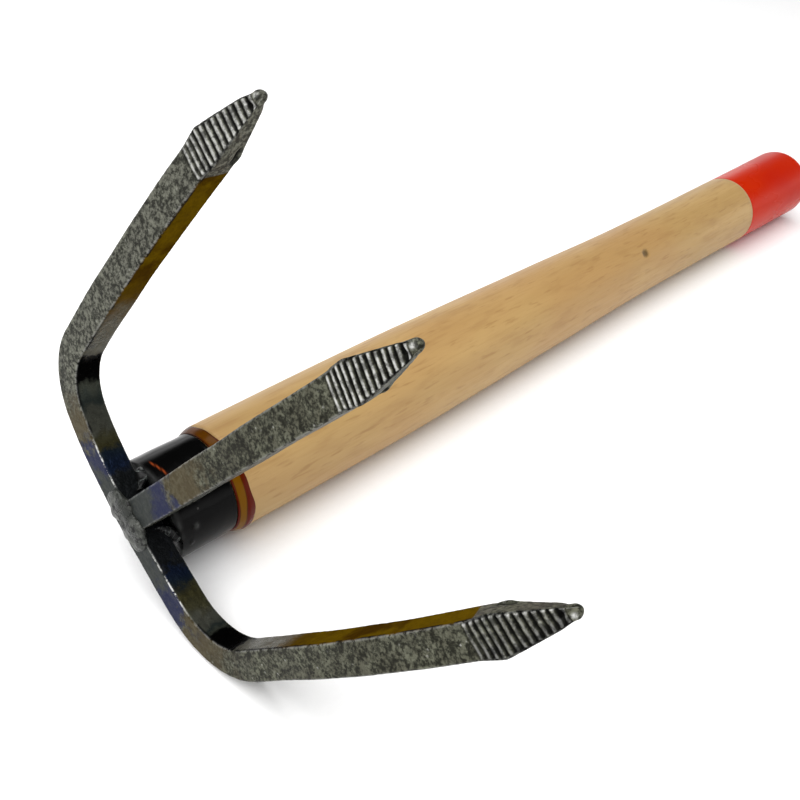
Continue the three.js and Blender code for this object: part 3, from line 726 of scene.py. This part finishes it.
def amber_lacquer(colours):
    """Pooled lacquer: clear amber where it is thin, brown at its edges, dark red where it has pooled."""
    make = Finish("amber lacquer")
    thick, pooled = make.layer("thick"), make.layer("pooled")
    cloudy = make.ease(make.noise(0.003, 3, 0.6), 0.35, 0.65)
    tone = make.blend(cloudy, tuple(colours.amber), AMBER_CLOUD)
    tone = make.blend(make.times(pooled, make.ease(thick, 0.4, 0.0)), tone, AMBER_THIN)
    edge = make.blend(pooled, EDGE_BROWN, POOL_RED)
    tone = make.blend(make.ease(thick, 0.35, 0.75), tone, edge)
    return make.finish(
        Base_Color=tone, Roughness=0.22, Specular_IOR_Level=0.06,
        Normal=make.bump(make.noise(0.003, 2), 0.0003, 0.3),
    )


def red_paint(colours):
    """Dipped gloss paint with a soft skin, a shade darker where it has run."""
    make = Finish("red paint")
    flow = make.noise(0.018, 3, 0.5, make.scaled((0.4, 1, 1)))
    tone = make.blend(make.ease(flow, 0.35, 0.7), tuple(colours.red), RED_DEEP)
    return make.finish(
        Base_Color=tone, Roughness=make.ease(flow, 0.3, 0.7, 0.24, 0.32), Specular_IOR_Level=0.05,
        Normal=make.bump(make.noise(0.006, 2), 0.00025, 0.4),
    )


# ---- turned pieces ----------------------------------------------------------------------------------


def grip_radius(distance):
    """The wood's outline: a smooth curve through the outline's points.

    Each span is a cubic whose end slopes are half the step between the neighbouring points.
    """
    knots = np.array(HANDLE_OUTLINE)
    last = len(knots) - 1
    share = np.linspace(0, last, 401)
    span = np.minimum(share.astype(int), last - 1)
    t = (share - span)[:, None]
    before, start = knots[np.maximum(span - 1, 0)], knots[span]
    end, after = knots[span + 1], knots[np.minimum(span + 2, last)]
    into, out = (end - before) / 2, (after - start) / 2
    curve = (2 * start - 2 * end + into + out) * t**3 + (3 * end - 3 * start - 2 * into - out) * t**2
    curve = curve + into * t + start
    return np.interp(distance, curve[:, 0], curve[:, 1])


def arc(centre, half, start, end, steps):
    """Points (x, radius) of an ellipse's arc, with angles in degrees."""
    angle = np.radians(np.linspace(start, end, steps))
    return np.stack([centre[0] + half[0] * np.cos(angle), centre[1] + half[1] * np.sin(angle)], -1)


def line(*corners, spacing=1.0):
    """Points (x, radius) along straight lines between corners, no further apart than the spacing."""
    parts = []
    for start, end in zip(corners, corners[1:]):
        steps = max(2, math.ceil(math.dist(start, end) / spacing) + 1)
        parts.append(np.linspace(start, end, steps)[:-1])
    return np.concatenate([*parts, [corners[-1]]])


def turned(profile, around):
    """Rings for an outline (points, 2) of x and radius, spun about the tool's X axis, and their angles."""
    angle = np.linspace(0, 2 * math.pi, around, endpoint=False)
    x, radius = profile[:, :1], profile[:, 1:]
    rings = np.stack([x + 0 * angle, radius * np.cos(angle), radius * np.sin(angle)], -1)
    return rings, np.broadcast_to(angle, rings.shape[:2])


def towards_axis(rings, depth):
    """Moves points towards the tool's X axis by a depth."""
    flat = rings * np.array([0, 1, 1])
    radius = np.maximum(np.linalg.norm(flat, axis=-1, keepdims=True), 1e-6)
    return rings - flat / radius * depth[..., None]


MOUTH = FERRULE_LENGTH
BUTT = MOUTH + HANDLE_LENGTH
REFLECTION_AT = 57  # degrees round the ferrule from the tool's Y axis, of a painted reflection: a thin orange line
REFLECTION_X, REFLECTION_SLOPE, REFLECTION_WIDTH = 2.9, 5.0, 0.9  # its middle, how steeply it runs, and its width
SPATTER = ((4.2, 129, 0.55, 0.75), (2.6, 148, 0.35, 0.5), (6.8, 102, 0.25, 0.4))  # x, degrees, height, size
KNOT_X, KNOT_AT, KNOT_DEPTH = 188.5, 96, 0.25  # along the grip, degrees round it, and how deep it sinks
POOL_AT = 158  # degrees round the handle from the tool's Y axis, where the lacquer has pooled
POLE = 0.02  # radius of the smallest ring beside a pole


def grip_points(start, end, inset, steps):
    """Points (x, radius) on the wood's outline between two places, sunk by an inset."""
    x = np.linspace(start, end, steps)
    return np.stack([x, grip_radius(x - MOUTH) - inset], -1)


def butt_arc(inset, steps):
    """A quarter circle from the grip's surface round to the flat of the butt, sunk by an inset."""
    radius = HANDLE_OUTLINE[-1][1] - END_ROUNDING
    half = END_ROUNDING - inset
    return arc((BUTT - END_ROUNDING, radius), (half, half), 90, 0, steps)


def handle_piece(colours, sizes):
    """The wood: a spigot, a chamfered shoulder, the long grip and a rounded end under the paint."""
    spigot = FERRULE_RADIUS - FERRULE_WALL - 0.3
    inset = COAT + 0.2
    shoulder = MOUTH + sizes.ring_width / MM
    dip_start = BUTT - sizes.dip_length / MM
    profile = np.concatenate([
        line((1.0, POLE), (1.0, spigot - 2), (3.0, spigot), (MOUTH + 0.3, spigot), spacing=3.0),
        line((MOUTH + 0.3, FERRULE_RADIUS - inset), (shoulder, HANDLE_OUTLINE[0][1] - inset), spacing=0.5),
        grip_points(shoulder + 0.02, dip_start - 0.05, 0, 260),
        grip_points(dip_start, BUTT - END_ROUNDING, inset, 40),
        butt_arc(inset, 10)[1:],
        line((BUTT - inset, HANDLE_OUTLINE[-1][1] - END_ROUNDING - 0.3), (BUTT - inset, POLE), spacing=3.0),
    ])
    rings, angle = turned(profile, 160)
    rings = towards_axis(rings, (0.05 + 0.03 * waves(rings, 24.0, 5)) * (rings[..., 0] > shoulder))
    apart = (angle - math.radians(KNOT_AT)) * grip_radius(KNOT_X)
    distance = np.sqrt(((rings[..., 0] - MOUTH - KNOT_X) / 1.9) ** 2 + (apart / 1.7) ** 2)
    knot = smooth(1.15, 0.55, distance)
    rings = towards_axis(rings, KNOT_DEPTH * knot)
    piece = skin("beech_handle", tool_to_row(rings), {"knot": knot})
    return fit(piece, "handle", beech(colours))


def ferrule_piece(colours):
    """Closed steel cap: flat end with a rounded edge, outside, and a bore that shows at the mouth.

    Its lacquer is burnt matt on the closed end near the weld, and weld spatter stands on its side.
    """
    flat = FERRULE_RADIUS - FERRULE_CORNER
    bore = FERRULE_RADIUS - FERRULE_WALL
    inner = FERRULE_WALL - FERRULE_NOSE
    profile = np.concatenate([
        line((-FERRULE_NOSE, POLE), (-FERRULE_NOSE, flat), spacing=0.8)[:-1],
        arc((0, flat), (FERRULE_NOSE, FERRULE_CORNER), 180, 90, 16),
        line((0.4, FERRULE_RADIUS), (MOUTH - 0.25, FERRULE_RADIUS), spacing=0.4),
        arc((MOUTH - 0.25, FERRULE_RADIUS - 0.25), (0.25, 0.25), 80, 0, 4),
        line((MOUTH, bore), (inner + 2, bore), (inner, bore - 2), (inner, POLE), spacing=2.0),
    ])
    rings, angle = turned(profile, 150)
    outside = rings[..., 0] < MOUTH - 1
    rings = towards_axis(rings, 0.025 * (waves(rings, 9.0, 11, 2) + 1) * outside)
    spatter = 0.0
    for x, degrees, height, size in SPATTER:
        apart = (angle - math.radians(degrees)) * FERRULE_RADIUS
        spatter = spatter + height * np.exp(-((rings[..., 0] - x) ** 2 + apart**2) / size**2)
    rings = towards_axis(rings, -spatter * outside * (np.linalg.norm(rings[..., 1:], axis=-1) > flat))
    end = smooth(1.2, -0.2, rings[..., 0]) * smooth(bore - 2, bore, np.linalg.norm(rings[..., 1:], axis=-1))
    lumpy = waves(rings, 5.0, 12, 2)
    burnt = np.clip(end * (0.55 + 0.5 * lumpy) + smooth(0.1, 0.4, spatter), 0, 1)
    swing = (angle - math.radians(REFLECTION_AT)) * FERRULE_RADIUS
    # Painted reflection: a thin orange line on the ferrule's side just behind its rounded front.
    orange_reflection = np.exp(-(((swing - REFLECTION_SLOPE * (rings[..., 0] - REFLECTION_X)) / REFLECTION_WIDTH) ** 2)) * outside
    orange_reflection = orange_reflection * smooth(2.0, 2.4, rings[..., 0]) * smooth(3.7, 3.3, rings[..., 0])
    piece = skin("ferrule_cap", tool_to_row(rings), {"burnt": burnt, "orange_reflection": orange_reflection})
    return fit(piece, "ferrule", black_lacquer(colours))


def lacquer_piece(colours, sizes):
    """Ring of pooled lacquer: a closed loop of small section over the shoulder, widest low on one side
    where it has run, and swollen across as half a sine wave."""
    angle = np.linspace(0, 2 * math.pi, 240, endpoint=False)[:, None]
    pooled = (0.5 + 0.5 * np.cos(angle - math.radians(POOL_AT))) ** 1.5
    wander = 0.12 * np.sin(5 * angle + 1.0) + 0.08 * np.sin(11 * angle)
    ring_width = sizes.ring_width / MM
    width = ring_width * (0.80 + 0.72 * pooled + 0.5 * wander)
    share = np.linspace(0, 1, 22)[None, :]
    x = MOUTH + 0.15 + (width - 0.15) * share
    chamfer = FERRULE_RADIUS + (HANDLE_OUTLINE[0][1] - FERRULE_RADIUS) * (x - MOUTH) / ring_width
    base = np.minimum(chamfer, grip_radius(x - MOUTH))
    crown = np.sin(math.pi * share) ** 0.6
    top = base + 0.03 + 0.22 * crown
    bottom = base - 0.30 - 0.10 * crown
    x = np.concatenate([x, x[:, ::-1]], 1)
    radius = np.concatenate([top, bottom[:, ::-1]], 1)
    points = np.stack([x, radius * np.cos(angle), radius * np.sin(angle)], -1)
    across = np.concatenate([share, share[:, ::-1]], 1)
    far_edge = smooth(0.90 - 0.50 * pooled, 0.98 - 0.38 * pooled, across + 0.3 * wander)
    thick = np.clip(far_edge + smooth(0.14, 0.02, across), 0, 1)
    layers = {"thick": thick, "pooled": pooled + 0 * across}
    piece = skin("lacquer_run", tool_to_row(points), layers, looped=True)
    return fit(piece, "lacquer_ring", amber_lacquer(colours))


def dip_piece(colours, sizes):
    """The paint: a skin over the butt with a rolled edge."""
    start = BUTT - sizes.dip_length / MM
    edge = arc((start + 0.45, 0), (0.25, (COAT - EASE) / 2), 270, 90, 7)
    edge[:, 1] += grip_radius(start + 0.45 - MOUTH) - (COAT + EASE) / 2
    flat = HANDLE_OUTLINE[-1][1] - END_ROUNDING - 0.3
    outside = np.concatenate([
        edge, grip_points(start + 0.9, BUTT - END_ROUNDING, EASE, 70), butt_arc(EASE, 18)[1:],
        line((BUTT - EASE, flat), (BUTT - EASE, POLE), spacing=1.5),
    ])
    inside = np.concatenate([
        grip_points(start + 0.9, BUTT - END_ROUNDING, COAT, 30), butt_arc(COAT, 8)[1:],
        line((BUTT - COAT, flat), (BUTT - COAT, POLE), spacing=3.0),
    ])
    rings, _ = turned(np.concatenate([inside[::-1], outside]), 160)
    piece = skin("painted_butt", tool_to_row(rings), {})
    return fit(piece, "red_end_dip", red_paint(colours))


# ---- weld beads -------------------------------------------------------------------------------------


def bead_piece(name, node, points, height, width, seed, lumps, material, passes=3):
    """A bead: a fat rope along a line, its ends rounded off, rippled at each pass and lumpy all over."""
    knots = np.array(points, float)
    share = np.linspace(0.01, 0.99, 80)
    line_at = np.stack([np.interp(share, np.linspace(0, 1, len(knots)), knots[:, n]) for n in range(3)], -1)
    taper = np.sqrt(1 - (2 * share - 1) ** 4)
    swell = taper * (1 + 0.10 * np.cos(2 * math.pi * passes * share))
    angle = np.linspace(0, 2 * math.pi, 48, endpoint=False)
    round_x = height * np.sin(angle)[None, :] * swell[:, None]
    round_z = width * np.cos(angle)[None, :] * swell[:, None]
    rope = line_at[:, None, :] + np.stack([round_x, 0 * round_x, round_z], -1)
    outward = rope - line_at[:, None, :]
    outward /= np.maximum(np.linalg.norm(outward, axis=-1, keepdims=True), 1e-6)
    relief = lumps * (waves(rope, 5.5, seed, 2) - 0.6) * taper[:, None]
    rope = rope + relief[..., None] * outward
    open_side = np.full(rope.shape[:2], float(node == "front_weld"))
    piece = skin(name, claw_to_row(rope), {"open_side": open_side})
    return fit(piece, node, material)


# ---- operators --------------------------------------------------------------------------------------


class BuildStep:
    """Shared by the operators: each can be run again and undone."""

    bl_options = {"REGISTER", "UNDO"}


class CULTIVATOR_OT_claw(BuildStep, bpy.types.Operator):
    """Builds the bent bar with both outer tines, and the centre tine, with their ribbed points"""

    bl_idname = "cultivator.claw"
    bl_label = "Claw"

    def execute(self, context):
        claw, colours = context.scene.cultivator_claw, context.scene.cultivator_finishes
        ribs_from = NOSE_RADIUS + (claw.rib_count + 1) * claw.rib_pitch / MM
        ends = [side_lengths(shape)[2] + shape["length"] for shape in (RIGHT, LEFT)]
        halves = [
            side_path(shape, stations(0.0, end, ribs_from)) for shape, end in zip((RIGHT, LEFT), ends)
        ]
        for half, end, zones in zip(halves, ends, (RIGHT_ZONES, LEFT_ZONES)):
            run = end - half["to_tip"]
            half["zone"] = np.interp(run, zones, np.arange(len(zones)))
            half["weld_heat"] = run / zones[1]
            half["pale"] = smooth(15, 40, run) * (zones is LEFT_ZONES)
            half["edge_wear_and_highlight"] = smooth(zones[1] * 0.55, zones[1] * 0.8, run) * smooth(*zones[2:4][::-1], run)
            half["shine"] = np.full_like(run, 0.75 if zones is LEFT_ZONES else 0.3)
            half["facet"] = np.full_like(run, 1.0 if zones is LEFT_ZONES else -1.0)
            # where the painted shadow line runs behind the front edge
            half["dark"] = smooth(zones[2], zones[3], run) * smooth(17, 20, half["to_tip"])
        bar = bar_skin("bent_bar", joined(*halves), claw)
        fit(bar, "outer_tines", forged_steel(colours, "bent bar steel"))
        middle = centre_path(stations(claw.bar_width / MM / 2 + 0.3, CENTRE["length"], ribs_from))
        run = CENTRE["length"] - middle["to_tip"]
        plain = np.zeros_like(run)
        middle |= {
            "zone": plain + 3.5, "weld_heat": run / CENTRE_BLUE, "edge_wear_and_highlight": plain, "dark": plain,
            "pale": plain, "shine": plain + 1, "facet": plain,
        }
        tine = bar_skin("middle_tine", middle, claw)
        fit(tine, "centre_tine", forged_steel(colours, "middle tine steel"))
        return {"FINISHED"}


class CULTIVATOR_OT_welds(BuildStep, bpy.types.Operator):
    """Builds the weld beads between the claw, the centre tine and the ferrule"""

    bl_idname = "cultivator.welds"
    bl_label = "Welds"

    def execute(self, context):
        welds, claw = context.scene.cultivator_welds, context.scene.cultivator_claw
        material = weld_metal(context.scene.cultivator_finishes)
        face, edge = claw.bar_depth / MM / 2, claw.bar_width / MM / 2
        foot = CENTRE["offset"]
        lumps, fillet = welds.lumps / MM, welds.fillet_height / MM
        front = [
            (-face, foot - 8.5, edge - 2), (-face, foot - 3, edge - 1.5),
            (-face, foot + 3, edge - 2), (-face, foot + 8, edge - 2.5),
        ]
        bead_piece("outer_bead", "front_weld", front, welds.front_height / MM * 0.92,
                   welds.front_width / MM * 0.96, 21, lumps, material)
        for side, name, node in ((1, "left_fillet", "left_rim_weld"), (-1, "right_fillet", "right_rim_weld")):
            start = foot + side * (edge + 0.8)
            points = [
                (face - 2.2, start, edge + 0.4), (face + 0.4, start + side * 2.5, edge + 0.4),
                (face + 1.2, start + side * 5.5, edge - 0.2),
            ]
            bead_piece(name, node, points, fillet * 0.62, fillet * 0.6, 31 + side, lumps, material, 2)
        under = [(face, -8, -edge - 0.2), (face, 0, -edge - 0.4), (face, 8, -edge - 0.2)]
        bead_piece("under_fillet", "under_weld", under, fillet, fillet * 0.9, 41, lumps, material)
        return {"FINISHED"}


class CULTIVATOR_OT_ferrule(BuildStep, bpy.types.Operator):
    """Builds the lacquered ferrule"""

    bl_idname = "cultivator.ferrule"
    bl_label = "Ferrule"

    def execute(self, context):
        ferrule_piece(context.scene.cultivator_finishes)
        return {"FINISHED"}


class CULTIVATOR_OT_handle(BuildStep, bpy.types.Operator):
    """Builds the beech handle"""

    bl_idname = "cultivator.handle"
    bl_label = "Handle"

    def execute(self, context):
        handle_piece(context.scene.cultivator_finishes, context.scene.cultivator_handle)
        return {"FINISHED"}


class CULTIVATOR_OT_ring(BuildStep, bpy.types.Operator):
    """Builds the lacquer ring on the handle's shoulder"""

    bl_idname = "cultivator.ring"
    bl_label = "Lacquer Ring"

    def execute(self, context):
        lacquer_piece(context.scene.cultivator_finishes, context.scene.cultivator_handle)
        return {"FINISHED"}


class CULTIVATOR_OT_butt(BuildStep, bpy.types.Operator):
    """Builds the paint on the handle's butt"""

    bl_idname = "cultivator.butt"
    bl_label = "Painted Butt"

    def execute(self, context):
        dip_piece(context.scene.cultivator_finishes, context.scene.cultivator_handle)
        return {"FINISHED"}


# Camera: where it stands in the row frame, in metres, and which way it looks, in degrees.
CAMERA_PLACE = (-0.2462, -0.1121, 0.1914)
CAMERA_HEADING = 41.59  # from +X towards +Y
CAMERA_DIP = 38.22  # below level
CAMERA_ROLL = 6.14  # right side raised
FLOOR_SIZE = 6.0
BOX_SIZE, BOX_PLACE = (2.0, 2.2), (-0.65, 0.0, 1.3)
WALL_TOP = 0.10  # sine of the height angle where the walls begin to darken
CEILING_FROM = 0.40


def aim(thing, place, heading, dip, roll=0.0):
    """Stands a camera or lamp at a place, looking along a heading and down by a dip."""
    level = Matrix.Rotation(math.radians(heading - 90), 4, "Z")
    tipped = Matrix.Rotation(math.radians(90 - dip), 4, "X")
    rolled = Matrix.Rotation(math.radians(roll), 4, "Z")
    thing.matrix_world = Matrix.Translation(Vector(place)) @ level @ tipped @ rolled


def soft_box(name, power, size, place):
    """A wide lamp hung level at a place, shining straight down."""
    light = bpy.data.lights.new(name, "AREA")
    light.shape = "RECTANGLE"
    light.size, light.size_y = size
    light.energy = power
    lamp = bpy.data.objects.new(name, light)
    bpy.context.scene.collection.objects.link(lamp)
    lamp.location = place


def tent(walls, ceiling):
    """White walls all round up to a height, and a dim ceiling."""
    world = bpy.data.worlds.new("tent")
    world.use_nodes = True
    tree = world.node_tree
    direction = tree.nodes.new("ShaderNodeTexCoord")
    parts = tree.nodes.new("ShaderNodeSeparateXYZ")
    height = tree.nodes.new("ShaderNodeMapRange")
    height.interpolation_type = "SMOOTHSTEP"
    for socket, value in zip(height.inputs[1:5], (WALL_TOP, CEILING_FROM, walls, ceiling)):
        socket.default_value = value
    tree.links.new(direction.outputs["Generated"], parts.inputs[0])
    tree.links.new(parts.outputs["Z"], height.inputs[0])
    tree.links.new(height.outputs[0], tree.nodes["Background"].inputs["Strength"])
    tree.nodes["Background"].inputs["Color"].default_value = (1.0, 1.0, 1.0, 1.0)
    return world


class CULTIVATOR_OT_stage(BuildStep, bpy.types.Operator):
    """Lays the floor and sets up the lights and the camera"""

    bl_idname = "cultivator.stage"
    bl_label = "Stage"

    def execute(self, context):
        stage = context.scene.cultivator_stage
        half = FLOOR_SIZE / 2
        corners = [(-half, -half, 0), (half, -half, 0), (half, half, 0), (-half, half, 0)]
        mesh = bpy.data.meshes.new("floor")
        mesh.from_pydata(corners, [], [(0, 1, 2, 3)])
        floor = bpy.data.objects.new("floor", mesh)
        context.scene.collection.objects.link(floor)
        paper = Finish("pale floor")
        grain = paper.noise(0.002, 2)
        shade = tuple(0.985 * part for part in stage.floor)
        tone = paper.blend(paper.ease(grain, 0.3, 0.7), tuple(stage.floor), shade)
        floor.data.materials.append(paper.finish(Base_Color=tone, Roughness=0.85, Specular_IOR_Level=0.2))

        context.scene.world = tent(stage.walls, stage.ceiling)
        soft_box("overhead", stage.key, BOX_SIZE, BOX_PLACE)
        context.scene.view_settings.view_transform = "Standard"

        camera = bpy.data.objects.new("camera", bpy.data.cameras.new("camera"))
        context.scene.collection.objects.link(camera)
        camera.data.lens = stage.lens
        camera.data.clip_start = 0.01
        aim(camera, CAMERA_PLACE, CAMERA_HEADING, CAMERA_DIP, CAMERA_ROLL)
        context.scene.camera = camera
        return {"FINISHED"}


STEPS = (
    CULTIVATOR_OT_stage, CULTIVATOR_OT_claw, CULTIVATOR_OT_welds, CULTIVATOR_OT_ferrule,
    CULTIVATOR_OT_handle, CULTIVATOR_OT_ring, CULTIVATOR_OT_butt,
)


class CULTIVATOR_PT_panel(bpy.types.Panel):
    """Lists the steps that build the tool"""

    bl_label = "Hand Cultivator"
    bl_idname = "CULTIVATOR_PT_panel"
    bl_space_type = "VIEW_3D"
    bl_region_type = "UI"
    bl_category = "Cultivator"

    def draw(self, context):
        column = self.layout.column(align=True)
        for step in STEPS:
            column.operator(step.bl_idname)
        for settings in SETTINGS:
            box = self.layout.box()
            group = getattr(context.scene, settings)
            for key in group.bl_rna.properties.keys():
                if key not in {"rna_type", "name"}:
                    box.prop(group, key)


SETTINGS = {
    "cultivator_claw": CULTIVATOR_PG_claw,
    "cultivator_handle": CULTIVATOR_PG_handle,
    "cultivator_welds": CULTIVATOR_PG_welds,
    "cultivator_finishes": CULTIVATOR_PG_finishes,
    "cultivator_stage": CULTIVATOR_PG_stage,
}
CLASSES = (*SETTINGS.values(), *STEPS, CULTIVATOR_PT_panel)


def register():
    for kind in CLASSES:
        bpy.utils.register_class(kind)
    for name, kind in SETTINGS.items():
        setattr(bpy.types.Scene, name, PointerProperty(type=kind))


def unregister():
    for name in SETTINGS:
        delattr(bpy.types.Scene, name)
    for kind in reversed(CLASSES):
        bpy.utils.unregister_class(kind)


def main():
    register()
    bpy.ops.cultivator.stage()
    bpy.ops.cultivator.claw()
    bpy.ops.cultivator.welds()
    bpy.ops.cultivator.ferrule()
    bpy.ops.cultivator.handle()
    bpy.ops.cultivator.ring()
    bpy.ops.cultivator.butt()


if __name__ == "__main__":
    main()
